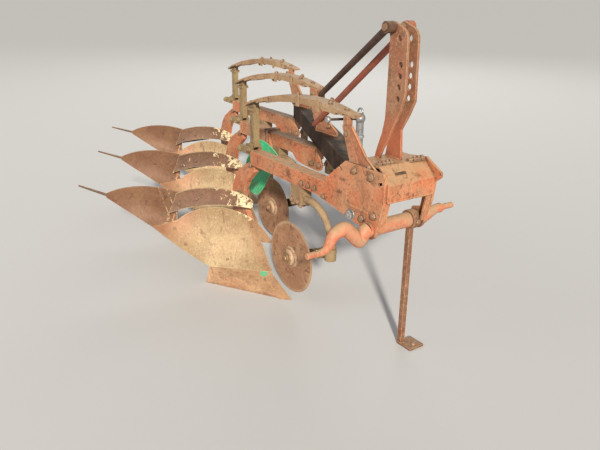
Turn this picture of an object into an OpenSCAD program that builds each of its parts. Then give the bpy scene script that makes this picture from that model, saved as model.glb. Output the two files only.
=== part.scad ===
// Three-furrow mounted plough with leaf-spring stone trip legs and disc coulters.
// X points forward, Y to the left and Z up. Share points and the stand foot are on the floor, Z = 0.

/* [Layout] */
// Furrow width, from one unit to the next across
furrow_w = 355; // [320:5:400]
// Distance from one unit to the next along the direction of travel
unit_pitch = 760; // [700:10:850]
// Shift of the front unit's share tip ahead of the part's origin
tip_x = 904.0; // [850:0.1:960]
// Shift of the front unit's plane from the part's origin
tip_y = -1.6; // [-60:0.1:60]

/* [Unit beam] */
// Height of the beams' underside over the floor
beam_z = 700; // [640:5:760]
// Height of a beam
beam_h = 80; // [70:1:100]
// Width of a beam
beam_w = 70; // [60:1:90]
// Wall of the beams
beam_wall = 8; // [5:0.5:12]
// Rear end of a beam, behind the share tip
beam_back = 370; // [330:5:400]
// Front end of the first beam, ahead of the share tip
beam_front = 570; // [540:5:600]
// Front end of the other beams' boxes, ahead of the share tip
beam_nose = 500; // [480:5:520]

/* [Main frame] */
// Height of the diagonal frame tube
tube_h = 100; // [80:2:120]
// Width of the diagonal frame tube
tube_w = 120; // [100:2:140]
// Wall of the diagonal frame tube
tube_wall = 8; // [5:0.5:12]
// Where the tube crosses a unit's plane, ahead of the share tip
tube_x = 600; // [560:5:640]
// Thickness of the side plates
plate_t = 12; // [8:1:16]

/* [Headstock] */
// Inner width of the headstock, between the side plates
head_w = 270; // [230:5:320]
// Rear face of the cross beam, ahead of the share tip
cross_x = 540; // [530:5:560]
// Depth of the cross beam along the direction of travel
cross_d = 222; // [200:2:240]
// Height of the cross beam's front face, and of its top over the tube's top
cross_h = 76; // [60:1:90]
head_rise = 58; // [40:1:70]
// Height of the cross shaft's axis over the floor
shaft_z = 655; // [640:1:670]
// Cross shaft's axis, ahead of the share tip
shaft_x = 668; // [655:1:680]
// Radius of the cross shaft
shaft_r = 35; // [28:0.5:40]
// Radius of the lower-link pins
pin_r = 14; // [11:0.5:18.5]
// Length of the lower-link pins
pin_len = 80; // [70:1:120]
// Running clearance of shafts and pins in their holes
run_gap = 0.1; // [0.05:0.05:0.3]

/* [Mast] */
// Height of the top-link holes' highest one over the floor
mast_hole_z = 1447; // [1400:1:1500]
// Radius of the top-link holes
link_r = 13; // [9.5:0.25:16]
// Free space between the mast plates
mast_gap = 46; // [40:1:60]
// Width of a mast plate's head
mast_w = 104; // [90:1:120]
// Middle of the mast, to the left of the front unit's plane
mast_y = 102; // [80:1:120]
// Middle of the mast plates' heads, ahead of the share tip
mast_x = 655; // [640:1:670]
// Radius of the pin that holds the struts
strut_pin_r = 14; // [10:0.5:16]
// Radius of the struts
strut_r = 16; // [12:0.5:18]

/* [Stand] */
// Side of the stand's square leg
stand_w = 26; // [24:1:40]
// Width of the stand's collar
collar_w = 34; // [28:1:40]
// Side of the stand's foot plate
foot_w = 92; // [80:2:120]

/* [Trip gear] */
// Width of the spring leaves
leaf_w = 80; // [60:1:90]
// Thickness of one spring leaf
leaf_t = 11; // [8:0.5:14]
// Height of the spring's highest place over the floor
spring_top_z = 1150; // [1130:1:1170]
// Rise of that place over the spring's rear end
leaf_rise = 122; // [100:1:140]
// Thickness of a leg
leg_t = 30; // [24:1:36]

/* [Bodies] */
// Thickness of mouldboard and wing
board_t = 8; // [6:0.5:10]
// Thickness of a share
share_t = 10; // [8:0.5:12]
// Height of the landside
side_h = 110; // [90:1:130]
// Gap at the joint of two pieces that are bolted edge to edge
joint_gap = 0.3; // [0.2:0.05:0.5]

/* [Disc coulter] */
// Radius of a coulter disc
disc_r = 200; // [180:1:230]
// Thickness of a coulter disc
disc_t = 5; // [4:0.5:8]
// Radius of the coulter's round stalk
stalk_r = 17.5; // [15:0.5:20]
// Swivel axis of a coulter, ahead of the share tip
swivel_x = 340; // [320:1:360]
// Disc axle's place ahead of the share tip
axle_x = -11; // [-30:1:10]
// Height of a disc axle over the floor
axle_z = 262; // [245:1:290]

/* [Hidden] */

beam_top = beam_z + beam_h;
frame_top = beam_top + tube_h;
half_w = beam_w / 2;
// Faces of the right and left headstock plates
right_in = -half_w;
left_in = right_in + head_w;
// Top and bottom of the cross beam
head_top = frame_top + head_rise;
cross_z = beam_top + 16;
// Middle of the stand's collar, beside the left plate
stand_y = left_in - 18 - collar_w / 2;
// Direction of the diagonal tube, seen from above
tube_turn = atan2(furrow_w, -unit_pitch);
// Top of the mast plates' heads, and the struts' lug behind it
head_z = mast_hole_z + 48;
lug_x = mast_x - 36;
lug_z = head_z - 5;
lug_r = 22;
// Highest place of the spring, ahead of the share tip, and its reach to the rear end
spring_mid_x = 180;
spring_reach = 629;
// Front face of the spring's seat, and how far the seat reaches to the left
seat_front = 510;
seat_side = 24;
// Sheet of the towers, their depth, and the step at their fold line
tower_web = 8;
tower_depth = 30;
tower_fold = 5;
orange = "#c8683a";
old_orange = "#b5704a";
olive_tan = "#a08f66";
tan_steel = "#b59a70";
rust = "#7d5236";
rust_dark = "#4d3526";
bare_steel = "#9a9a94";

// Placing helpers

// Puts a unit's piece in the plane of unit i, counted from 0 at the front
module at_unit(i) {
    translate([tip_x - i * unit_pitch, tip_y + i * furrow_w, 0]) children();
}

// Turns a flat outline, drawn as x along and y up, into a plate from y0 towards the left
module upright_plate(y0, t) {
    translate([0, y0 + t, 0]) rotate([90, 0, 0]) linear_extrude(t) children();
}

// A round bar along Y
module bar_y(r, y0, y1) {
    translate([0, y0, 0]) rotate([-90, 0, 0]) cylinder(r = r, h = y1 - y0, $fn = 48);
}

// Curves

function bezier2(p, t) = (1 - t) * (1 - t) * p[0] + 2 * t * (1 - t) * p[1] + t * t * p[2];
function bezier3(p, t) =
    pow(1 - t, 3) * p[0] + 3 * t * pow(1 - t, 2) * p[1] + 3 * t * t * (1 - t) * p[2] + pow(t, 3) * p[3];
function unit_of(v) = v / norm(v);
// Points of an arc round c, from angle a0 to a1
function arc(c, r, a0, a1, steps = 16) =
    [for (k = [0 : steps]) let (a = a0 + (a1 - a0) * k / steps) c + r * [cos(a), sin(a)]];

// Curved plates: a grid of points and its normals make a closed sheet

function grid_normal(g, i, j) =
    let (
        a = g[min(i + 1, len(g) - 1)][j] - g[max(i - 1, 0)][j],
        b = g[i][min(j + 1, len(g[0]) - 1)] - g[i][max(j - 1, 0)]
    )
    unit_of(cross(a, b));

function shifted_grid(g, d) =
    [for (i = [0 : len(g) - 1]) [for (j = [0 : len(g[0]) - 1]) g[i][j] + d * grid_normal(g, i, j)]];

// Closed solid between a grid shifted by d0 and the same grid shifted by d1, along its normals
module curved_sheet(g, d0, d1) {
    closed_sheet(shifted_grid(g, d0), shifted_grid(g, d1));
}

// Closed solid between two grids of the same size
module closed_sheet(lower, upper) {
    n = len(lower);
    m = len(lower[0]);
    points = [for (layer = [lower, upper]) for (row = layer) for (p = row) p];
    function at(k, i, j) = k * n * m + i * m + j;
    polyhedron(points, concat(
        [for (i = [0 : n - 2]) for (j = [0 : m - 2]) each
            [[at(0, i, j), at(0, i + 1, j), at(0, i + 1, j + 1)], [at(0, i, j), at(0, i + 1, j + 1), at(0, i, j + 1)],
             [at(1, i, j), at(1, i + 1, j + 1), at(1, i + 1, j)], [at(1, i, j), at(1, i, j + 1), at(1, i + 1, j + 1)]]],
        [for (i = [0 : n - 2]) each
            [[at(0, i, 0), at(1, i, 0), at(1, i + 1, 0)], [at(0, i, 0), at(1, i + 1, 0), at(0, i + 1, 0)],
             [at(0, i, m - 1), at(1, i + 1, m - 1), at(1, i, m - 1)],
             [at(0, i, m - 1), at(0, i + 1, m - 1), at(1, i + 1, m - 1)]]],
        [for (j = [0 : m - 2]) each
            [[at(0, 0, j), at(1, 0, j + 1), at(1, 0, j)], [at(0, 0, j), at(0, 0, j + 1), at(1, 0, j + 1)],
             [at(0, n - 1, j), at(1, n - 1, j), at(1, n - 1, j + 1)],
             [at(0, n - 1, j), at(1, n - 1, j + 1), at(0, n - 1, j + 1)]]]
    ));
}

// Main frame

// Diagonal tube on top of the three beams
module main_tube() {
    reach = 2 * unit_pitch / cos(tube_turn - 180);
    front = 300;
    back = 120;
    color(rust_dark)
    translate([tip_x, tip_y, 0])
    intersection() {
        translate([tube_x, 0, beam_top + tube_h / 2])
        rotate([0, 0, tube_turn])
        difference() {
            translate([-front, -tube_w / 2, -tube_h / 2]) cube([front + reach + back, tube_w, tube_h]);
            translate([-front - 1, -tube_w / 2 + tube_wall, -tube_h / 2 + tube_wall])
                cube([front + reach + back + 1 - tube_wall, tube_w - 2 * tube_wall, tube_h - 2 * tube_wall]);
        }
        translate([cross_x - reach - front, right_in, beam_top]) cube([reach + front, reach, tube_h]);
    }
}

// Box beam, and on the rear units a deeper cheek with a rounded nose on its right face
module beam(i) {
    front = i == 0 ? beam_front : beam_nose;
    color(orange)
    at_unit(i)
    difference() {
        union() {
            translate([-beam_back, -half_w, beam_z]) cube([beam_back + front, beam_w, beam_h]);
            if (i > 0)
                upright_plate(-half_w - plate_t, plate_t + 1)
                    polygon([[290, 776], [290, 704], [340, 666], [430, 655], [556, 652], [582, 662], [592, 690],
                        [575, 726], [530, 757], [470, 776]]);
        }
        translate([-beam_back + beam_wall, -half_w + beam_wall, beam_z + beam_wall])
            cube([beam_back + front - 2 * beam_wall, beam_w - 2 * beam_wall, beam_h - 2 * beam_wall]);
    }
}

// Headstock

// Lower edge of a side plate's round bearing lug, from its front to its rear
function shaft_lug() = arc([shaft_x, shaft_z], shaft_r + 12, -10, -170);

module side_plate_outline() {
    difference() {
        polygon(concat([[498, 668], [292, 703], [351, 812], [485, 920], [738, 920], [752, 900], [752, 797]], shaft_lug()));
        translate([shaft_x, shaft_z]) circle(r = shaft_r + run_gap, $fn = 64);
        translate([452, 880]) rotate(-35) square([34, 12], center = true);
        translate([722, 872]) rotate(20) square([30, 12], center = true);
    }
}

module side_plate_right() {
    rib = 6;
    color(orange)
    translate([tip_x, tip_y, 0]) {
        upright_plate(-half_w - plate_t, plate_t) side_plate_outline();
        // Pressed ledge on the outer face
        upright_plate(-half_w - plate_t - rib, rib)
            polygon([[502, 792], [514, 792], [514, 738], [664, 734], [664, 722], [502, 726]]);
        // Return flange along the front edge, under the cross beam
        upright_plate(-half_w, 28)
            polygon([[751, 792], [741, 792], [712, 656], [721.5, 656]]);
    }
}

// Left plate: a strap under the cross beam that carries the shaft, with a return flange in front
module side_plate_left() {
    color(orange)
    translate([tip_x, tip_y, 0]) {
        upright_plate(left_in, plate_t)
            difference() {
                polygon(concat([[636, 702], [686, 716], [700, cross_z], [560, cross_z], [560, 930], [700, 948],
                    [796, 896], [796, 876], [764, 850], [752, 760]], shaft_lug()));
                translate([shaft_x, shaft_z]) circle(r = shaft_r + run_gap, $fn = 64);
            }
        upright_plate(left_in - 26, 27)
            polygon([[751, cross_z - 3], [741, cross_z - 3], [716, 668], [725, 664]]);
    }
}

// Section of the cross beam with its edges moved in by d: its top slopes down to the front face
module cross_section(d) {
    polygon([[cross_x + d, cross_z + d], [cross_x + cross_d - d, cross_z + d],
        [cross_x + cross_d - d, cross_z + cross_h - 0.4 * d], [cross_x + 152 - 0.4 * d, head_top - d],
        [cross_x + d, head_top - d]]);
}

module cross_beam() {
    wall = 10;
    color(orange)
    translate([tip_x, tip_y, 0])
    difference() {
        upright_plate(right_in, head_w) cross_section(0);
        upright_plate(right_in - 1, head_w + 2) cross_section(wall);
        // Room for the front tower's foot
        translate([cross_x - 1, right_in - 1, frame_top - joint_gap])
            cube([180, tower_web + joint_gap + 1, head_rise + 1]);
    }
}

// Feet of the mast plates: the right one sweeps to the rear, the left one goes straight down
right_foot = [[601, 1115], [587, 1052], [557, 970], [548, head_top], [580, head_top],
    [600, 985], [626, 1022], [652, 1085], [695, 1168]];
left_foot = [[598, 1115], [584, 1052], [562, 985], [552, head_top], [654, head_top], [652, 960],
    [643, 1068], [684, 1136], [714, 1200]];

// Outline of a mast plate over its foot: a straight head with a round top
module mast_outline(foot) {
    difference() {
        polygon(concat(
            [[mast_x + mast_w / 2 + 6, 1235]],
            arc([mast_x, head_z - mast_w / 2], mast_w / 2, 0, 75),
            arc([lug_x, lug_z], lug_r, 60, 200),
            [[mast_x - mast_w / 2, head_z - mast_w / 2], [603, 1187]],
            foot
        ));
        translate([lug_x, lug_z]) circle(r = strut_pin_r + run_gap, $fn = 48);
        // Top-link holes, the highest one apart
        for (drop = [0, 102, 147, 192, 240])
            translate([drop == 0 ? 660 : 678 - drop / 30, mast_hole_z - drop]) circle(r = link_r, $fn = 48);
    }
}

module mast_plate(side) {
    y0 = side > 0 ? mast_y + mast_gap / 2 : mast_y - mast_gap / 2 - plate_t;
    color(orange)
    translate([tip_x, tip_y, 0]) upright_plate(y0, plate_t) mast_outline(side > 0 ? left_foot : right_foot);
}

// Outer faces of the mast, to the right and to the left
mast_right_face = mast_y - mast_gap / 2 - plate_t;
mast_left_face = mast_y + mast_gap / 2 + plate_t;
// Middles of the struts on the mast's pin
long_y = mast_right_face - 26;
short_y = mast_left_face + 18;
// Places on the middle unit's tower that the struts reach, in the front unit's frame
long_foot = [seat_front - unit_pitch, furrow_w - 5, spring_top_z - 72];
short_foot = [seat_front - unit_pitch + 50, furrow_w - half_w - tower_fold, spring_top_z - 195];

module mast_pin() {
    color(rust_dark)
    translate([tip_x + lug_x, tip_y, lug_z])
        bar_y(strut_pin_r, long_y - 24, short_y + 24);
}

// Strut from the mast's pin to a foot, with an eye that reaches from y0 to y1
module strut(top, foot, y0, y1) {
    v = foot - top;
    eye_r = lug_r + 2;
    difference() {
        union() {
            translate(top) rotate([0, acos(v[2] / norm(v)), atan2(v[1], v[0])])
                difference() {
                    cylinder(r = strut_r, h = norm(v) + 120, $fn = 40);
                    translate([0, 0, 40]) cylinder(r = strut_r - 4, h = norm(v) + 120, $fn = 40);
                }
            translate([top[0], 0, top[2]]) bar_y(eye_r, y0, y1);
        }
        translate([top[0], 0, top[2]]) bar_y(strut_pin_r + run_gap, y0 - strut_r, y1 + strut_r);
    }
}

// Dark strut on the right, which ends in front of the middle unit's spring seat
module strut_long() {
    color(rust_dark)
    translate([tip_x, tip_y, 0])
    difference() {
        strut([lug_x, long_y, lug_z], long_foot, long_y - strut_r, mast_right_face - joint_gap);
        translate(long_foot + [joint_gap - 200, -100, -150]) cube([200, 200, 300]);
    }
}

// Red strut on the left, which ends on the right face of the middle unit's tower
module strut_short() {
    color(orange)
    translate([tip_x, tip_y, 0])
    difference() {
        strut([lug_x, short_y, lug_z], short_foot, mast_left_face + joint_gap, short_y + strut_r);
        translate(short_foot + [-250, -joint_gap, -200]) cube([500, 100, 400]);
    }
}

module adjuster() {
    height = 200;
    color(bare_steel)
    translate([tip_x + 400, tip_y + 100, frame_top]) {
        cylinder(r = 17, h = height, $fn = 32);
        translate([0, 0, height]) sphere(r = 24, $fn = 32);
    }
}

// Cranked lower-link shaft

// Round forging between two places [x, y, z, r], with a knuckle at each end
module forged(a, b) {
    from = [a[0], a[1], a[2]];
    v = [b[0], b[1], b[2]] - from;
    translate(from) sphere(r = a[3] + 1.5, $fn = 40);
    translate(from + v) sphere(r = b[3] + 1.5, $fn = 40);
    translate(from) rotate([0, acos(v[2] / norm(v)), atan2(v[1], v[0])])
        cylinder(r1 = a[3], r2 = b[3], h = norm(v), $fn = 40);
}

module cross_shaft() {
    right_end = right_in - plate_t;
    left_end = left_in + plate_t;
    right_pin = right_end - 329;
    left_pin = left_end + 220;
    drop = 52;
    lift = 20;
    collar_r = 23;
    hump = [[0, right_end - 24, 0, 33], [0, right_end - 42, -44, 29], [-4, right_end - 128, 26, 31],
        [-4, right_end - 190, 10, 28], [0, right_pin + pin_len + 26, -drop + 8, 21]];
    color(orange)
    translate([tip_x + shaft_x, tip_y, shaft_z]) {
        bar_y(shaft_r, right_end - 30, left_end + 30);
        for (k = [0 : 3]) forged(hump[k], hump[k + 1]);
        translate([0, 0, -drop]) bar_y(pin_r, right_pin, right_pin + pin_len + 24);
        translate([0, 0, -drop]) bar_y(collar_r, right_pin + pin_len, right_pin + pin_len + 12);
        forged([0, left_end + 32, 0, 32], [0, left_pin - pin_len - 28, lift, 22]);
        translate([0, 0, lift]) bar_y(pin_r, left_pin - pin_len - 28, left_pin);
        translate([0, 0, lift]) bar_y(collar_r, left_pin - pin_len - 12, left_pin - pin_len);
    }
}

// Parking stand: a collar that turns on the cross shaft, a square leg and a foot plate

module stand_leg() {
    wall = 5;
    foot_t = 10;
    collar_r = shaft_r + 10;
    color(rust)
    translate([tip_x + shaft_x, tip_y + stand_y, 0]) {
        translate([-stand_w / 2, -stand_w / 2, 0]) cube([foot_w, foot_w, foot_t]);
        difference() {
            union() {
                translate([-stand_w / 2, -stand_w / 2, foot_t]) cube([stand_w, stand_w, shaft_z - shaft_r - foot_t]);
                translate([0, 0, shaft_z]) bar_y(collar_r, -collar_w / 2, collar_w / 2);
            }
            translate([-stand_w / 2 + wall, -stand_w / 2 + wall, foot_t])
                cube([stand_w - 2 * wall, stand_w - 2 * wall, shaft_z - collar_r - 2 * foot_t]);
            translate([0, 0, shaft_z]) bar_y(shaft_r + run_gap, -stand_w, stand_w);
        }
    }
}

// Stone trip gear

// Tapered folded upright that holds the spring's front end: a web on the right and a flange behind it
module tower(i) {
    color(orange)
    at_unit(i) {
        upright_plate(-half_w, tower_web)
            polygon([[446, 1070], [seat_front, 1076], [612, 960], [705, 903], [705, frame_top], [505, frame_top],
                [515, 905]]);
        // Part behind the fold line, pressed outwards
        upright_plate(-half_w - tower_fold, tower_fold + 1)
            polygon([[446, 1070], [478, 1073], [562, 934], [566, 922], [508, 922]]);
        upright_plate(-half_w, tower_depth)
            polygon([[446, 1070], [515, 905], [505, frame_top], [513, frame_top], [523, 905], [455, 1070]]);
        // Seat under the spring's front end
        spring_seat(446, 475, tower_depth);
        // Base plate on the tube
        if (i > 0) translate([505, -half_w, frame_top]) cube([150, tower_depth, tower_web]);
        // Lug that takes the long strut
        if (i == 1) spring_seat(462, seat_front, half_w + seat_side);
    }
}

// Block between x0 and x1 whose top follows the leaf above it
module spring_seat(x0, x1, depth) {
    upright_plate(-half_w, depth)
        polygon([[x0, 1050], [x1, 1050], [x1, leaf_low(x1)], [x0, leaf_low(x0)]]);
}

// Height of a seat's or tie's top under the longest leaf, at x
function leaf_low(x) = leaf_top(x) - leaf_t - joint_gap;

// Height of the spring's upper face at x
function leaf_top(x) = spring_top_z - pow((x - spring_mid_x) / spring_reach, 2) * leaf_rise;

// Leaf number k from the top, between x0 and x1
module leaf(x0, x1, k) {
    steps = 20;
    xs = [for (n = [0 : steps]) x0 + (x1 - x0) * n / steps];
    upright_plate(-leaf_w / 2, leaf_w)
        polygon(concat([for (x = xs) [x, leaf_top(x) - k * leaf_t]],
            [for (n = [steps : -1 : 0]) [xs[n], leaf_top(xs[n]) - (k + 1) * leaf_t]]));
}

// Leaf pack, narrower at both ends
module spring(i) {
    color(tan_steel)
    at_unit(i)
    intersection() {
        union() {
            leaf(spring_mid_x - spring_reach, 500, 0);
            leaf(-300, 430, 1);
            leaf(-200, 380, 2);
        }
        linear_extrude(spring_top_z + 10)
            polygon([[-460, -28], [-380, -40], [260, -40], [500, -seat_side], [500, seat_side], [260, 40], [-380, 40],
                [-460, 28]]);
    }
}

// Link between the spring's rear end and the leg: a bar with a fork that holds the leg's head
module tie(i) {
    fork = 12;
    fork_in = leg_t / 2 + joint_gap;
    bar_half = 17;
    color(olive_tan)
    at_unit(i) {
        upright_plate(-bar_half, 2 * bar_half)
            polygon([[-408, 798], [-363, 798], [-363, leaf_low(-363)], [-408, leaf_low(-408)]]);
        for (y0 = [-fork_in - fork, fork_in])
            upright_plate(y0, fork)
                polygon([[-372, 748], [-372, 800], [-366, 815], [-404, 822], [-412, 794], [-515, 790], [-526, 778],
                    [-518, 757], [-500, 750]]);
    }
}

// Leg and frog in one plate, cut to the back of the mouldboard
module leg(i) {
    color(orange)
    at_unit(i)
    difference() {
        upright_plate(-leg_t / 2, leg_t)
            polygon([
                [-beam_back - joint_gap, 655], [-beam_back - joint_gap, 772], [-410, 772], [-414, 708], [-480, 674],
                [-553, 628], [-596, 580], [-630, 510], [-649, 446], [-638, 350], [-565, 180], [-505, 60], [-262, 60],
                [-236, 95], [-300, 147], [-372, 262], [-437, 348], [-508, 430], [-502, 481], [-482, 540], [-448, 587]
            ]);
        curved_sheet(cut_grid, -45, board_t + joint_gap);
    }
}

// Plough body surfaces

// Edge curves of the mouldboard: the joint with the share, the foot of the board and its top
share_in = [-216, 0, 89];
share_out = [-440, -285, 110];
board_end = [-640, -535, 345];
wing_end = [-835, -725, 498];
shin_top = [-425, 0, 352];
notch = [-616, -392, 367];

// Point on the board: s from the share joint's landside end to the foot's rear end, t from foot to top
function board_low(s) =
    s < 0.5 ? share_in + (share_out - share_in) * s * 2
            : bezier2([share_out, [-530, -420, 210], board_end], s * 2 - 1);
function board_high(s) = bezier3([shin_top, [-450, -130, 460], [-560, -260, 470], notch], s);
function board_mid(s) = (board_low(s) + board_high(s)) / 2 + (75 - 50 * s) * [-0.6, 0.55, -0.45];
function board_point(s, t) = bezier2([board_low(s), board_mid(s), board_high(s)], t);
board_grid = [for (i = [0 : 16]) [for (j = [0 : 7]) board_point(i / 16, j / 7)]];
// The same surface carried on past the shin and the top, which cuts the leg behind the board
cut_grid = [for (i = [-1 : 4]) [for (j = [-1 : 8]) board_point(i / 16, j / 7)]];

// Wing: its inner edge follows the board's rear edge and goes on up beside the trashboard
wing_top = [-580, -395, 545];
wing_inner = concat(board_grid[16], [for (k = [1 : 4]) notch + (wing_top - notch) * k / 4]);
function wing_low(s) = bezier2([board_end, [-740, -640, 425], wing_end], s);
function wing_high(s) = bezier3([wing_top, [-640, -500, 590], [-740, -640, 590], wing_end + [-2, -4, 22]], s);
function wing_plain(s, t) =
    let (a = wing_low(s), b = wing_high(s))
    bezier2([a, (a + b) / 2 + 22 * (1 - s) * [-0.6, 0.6, -0.2], b], t);
function wing_point(s, j) = wing_plain(s, j / 11) + pow(1 - s, 2) * (wing_inner[j] - wing_plain(0, j / 11));
wing_grid = [for (i = [0 : 10]) [for (j = [0 : 11]) wing_point(i / 10, j)]];
wing_back = shifted_grid(wing_grid, board_t);
board_back = shifted_grid(board_grid, board_t);
// Step from the board to the wing at their joint
joint_step = joint_gap * unit_of(wing_grid[1][4] - wing_grid[0][4]);
function wing_row(rows, edge, i) =
    i > 0 ? rows[i] : [for (j = [0 : 11]) (j < 8 ? edge[j] : rows[0][j]) + joint_step];

module mouldboard(i) {
    color(tan_steel) at_unit(i) curved_sheet(board_grid, 0, board_t);
}

module wing(i) {
    color(rust) at_unit(i)
    closed_sheet(
        [for (k = [0 : 10]) wing_row(wing_grid, board_grid[16], k)],
        [for (k = [0 : 10]) wing_row(wing_back, board_back[16], k)]);
}

// Pointed rod behind the wing's tip, fitted to the wing's back and carrying it on to the rear
module tail(i) {
    rod_r = 9;
    lap = 70;
    v = unit_of([-245, -93, 8]);
    back = grid_normal(wing_grid, 9, 5);
    from = (wing_low(0.98) + wing_high(0.98)) / 2 + (board_t + 3) * back - lap * v;
    color(rust_dark) at_unit(i)
    difference() {
        translate(from) rotate([0, acos(v[2]), atan2(v[1], v[0])])
            cylinder(r1 = rod_r, r2 = 5, h = 330, $fn = 24);
        curved_sheet([for (k = [6 : 10]) wing_grid[k]], -30, board_t + joint_gap);
    }
}

// Share: a slanting blade with a bar point
edge_in = [-30, -30, 0];
edge_out = [-465, -300, 0];

module share(i) {
    up = unit_of(board_grid[0][1] - board_grid[0][0]);
    back = grid_normal(board_grid, 0, 0);
    rise = [for (s = [0, 1]) share_in + (share_out - share_in) * s - joint_gap * up];
    color(rust)
    at_unit(i) {
        closed_sheet(
            [[edge_in, rise[0]], [edge_out, rise[1]]],
            [[edge_in + [-14, 8, 0], rise[0] + share_t * back], [edge_out + [-14, 8, 0], rise[1] + share_t * back]]);
        // Bar point
        hull() {
            translate([-1, -1, 0]) cylinder(r = 1, h = 3, $fn = 8);
            translate([-50, -50, 0]) cylinder(r = 1, h = 3, $fn = 8);
            translate([-180, -4, 58]) cylinder(r = 1, h = 20, $fn = 8);
            translate([-214, -50, 58]) cylinder(r = 1, h = 20, $fn = 8);
        }
    }
}

module landside(i) {
    color(rust)
    at_unit(i)
    upright_plate(leg_t / 2, 12)
        polygon([[-270, 0], [-262, 60], [-320, side_h], [-700, side_h], [-700, 0]]);
}

// Curved strip over the board's top, on a bracket at the leg
module trashboard(i) {
    low = [[-400, -24, 430], [-480, -290, 510], [-600, -452, 420]];
    high = [[-385, -24, 480], [-400, -110, 575], [-500, -280, 595], [-565, -414, 543]];
    rows = [for (k = [0 : 12]) [bezier2(low, k / 12), bezier3(high, k / 12)]];
    strip = [for (r = rows) [r[0], (r[0] + r[1]) / 2 + [-8, 8, 0], r[1]]];
    color(rust_dark)
    at_unit(i) {
        curved_sheet(strip, 0, 6);
        upright_plate(-leg_t / 2 - joint_gap - 10, 10) polygon([[-560, 440], [-395, 436], [-388, 475], [-560, 500]]);
    }
}

// Disc coulter

module stalk(i) {
    bend = 180;
    run = 630;
    color(tan_steel)
    at_unit(i) {
        translate([swivel_x - bend, 0, run - bend])
            rotate([90, 0, 0]) rotate_extrude(angle = 90, $fn = 96) translate([bend, 0]) circle(r = stalk_r, $fn = 40);
        translate([20, 0, run]) rotate([0, 90, 0]) cylinder(r = stalk_r, h = swivel_x - bend - 20, $fn = 40);
        translate([swivel_x, 0, 370]) cylinder(r = stalk_r, h = run - bend - 370, $fn = 40);
        // Clamp under the beam
        translate([30, -half_w, run - 30]) cube([90, beam_w, beam_z - run + 30]);
    }
}

module coulter_arm(i) {
    house_r = 29;
    color(olive_tan)
    at_unit(i)
    difference() {
        union() {
            translate([swivel_x, 0, 375]) cylinder(r = house_r, h = 62, $fn = 48);
            upright_plate(22, 14)
                polygon([[swivel_x, 382], [swivel_x, 430], [swivel_x - 30, 430], [axle_x - 10, axle_z + 26], [axle_x - 26, axle_z], [axle_x, axle_z - 26]]);
            translate([axle_x, 0, axle_z]) bar_y(12, -34, 22);
            translate([axle_x, 0, axle_z]) bar_y(20, -38, -28.5);
        }
        translate([swivel_x, 0, 370]) cylinder(r = stalk_r + run_gap, h = 80, $fn = 48);
    }
}

module disc(i) {
    hub_r = 44;
    color(rust)
    at_unit(i)
    translate([axle_x, 0, axle_z])
    rotate([90, 0, 0])
    rotate_extrude($fn = 128)
        polygon([
            [12 + run_gap, -20], [hub_r, -20], [hub_r, -disc_t / 2], [disc_r - 18, -disc_t / 2], [disc_r, 0],
            [disc_r - 18, disc_t / 2], [hub_r + 20, disc_t / 2], [hub_r, 14], [30, 28], [12 + run_gap, 28]
        ]);
}

// Skimmer of the middle unit

// Place on a line of three points that bends at the middle one
function bent(p, t) = t < 0.5 ? p[0] + (p[1] - p[0]) * 2 * t : p[1] + (p[2] - p[1]) * (2 * t - 1);

skimmer_low = [[190, -124, 600], [69, -166, 393], [-92, -176, 462]];
skimmer_high = [[222, -108, 677], [45, -140, 749], [-78, -170, 545]];
skimmer_bulge = [-14, 16, 0];
skimmer_t = 6;
skimmer_grid = [for (k = [0 : 8])
    let (a = bent(skimmer_low, k / 8), b = bent(skimmer_high, k / 8))
    [a, a * 0.67 + b * 0.33 + skimmer_bulge, a * 0.33 + b * 0.67 + skimmer_bulge, b]];

module skimmer_2() {
    color("#3f9f6a") at_unit(1) curved_sheet(skimmer_grid, 0, skimmer_t);
}

// Shank on the middle beam's right face, with the bracket that carries the blade
module skimmer_shank_2() {
    color(old_orange)
    at_unit(1)
    difference() {
        union() {
            upright_plate(-half_w - 14, 14) polygon([[-30, 770], [20, 770], [84, 610], [84, 560], [10, 560]]);
            translate([30, -170, 570]) cube([44, 170 - half_w - 1, 40]);
        }
        curved_sheet(skimmer_grid, -60, skimmer_t + joint_gap);
    }
}

main_tube();
cross_beam();
side_plate_right();
side_plate_left();
mast_plate(-1);  // mast_right
mast_plate(1);  // mast_left
mast_pin();
strut_long();
strut_short();
adjuster();
cross_shaft();
stand_leg();
skimmer_2();
skimmer_shank_2();
for (i = [0 : 2]) {
    beam(i);
    tower(i);
    spring(i);
    tie(i);
    leg(i);
    mouldboard(i);
    wing(i);
    tail(i);
    share(i);
    trashboard(i);
    landside(i);
    stalk(i);
    coulter_arm(i);
    disc(i);
}
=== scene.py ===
"""Looks of a three-furrow mounted plough: materials, fasteners, welds, camera and light."""
import math
import random

import bpy
from mathutils import Matrix, Vector
from mathutils.bvhtree import BVHTree


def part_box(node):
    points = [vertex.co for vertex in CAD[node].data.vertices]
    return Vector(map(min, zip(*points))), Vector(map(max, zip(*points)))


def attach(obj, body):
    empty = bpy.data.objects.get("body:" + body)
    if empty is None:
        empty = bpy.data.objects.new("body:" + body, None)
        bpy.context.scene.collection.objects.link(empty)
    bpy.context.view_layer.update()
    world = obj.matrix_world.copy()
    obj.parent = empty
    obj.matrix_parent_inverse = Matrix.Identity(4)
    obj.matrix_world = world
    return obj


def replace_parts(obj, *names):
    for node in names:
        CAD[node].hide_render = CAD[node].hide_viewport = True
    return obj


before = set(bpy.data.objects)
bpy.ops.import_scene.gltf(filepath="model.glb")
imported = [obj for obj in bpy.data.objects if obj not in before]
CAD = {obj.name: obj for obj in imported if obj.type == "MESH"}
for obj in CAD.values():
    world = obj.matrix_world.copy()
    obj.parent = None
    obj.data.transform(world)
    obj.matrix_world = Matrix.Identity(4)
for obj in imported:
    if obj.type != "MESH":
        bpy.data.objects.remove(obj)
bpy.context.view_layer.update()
UNITS = (1, 2, 3)
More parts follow.
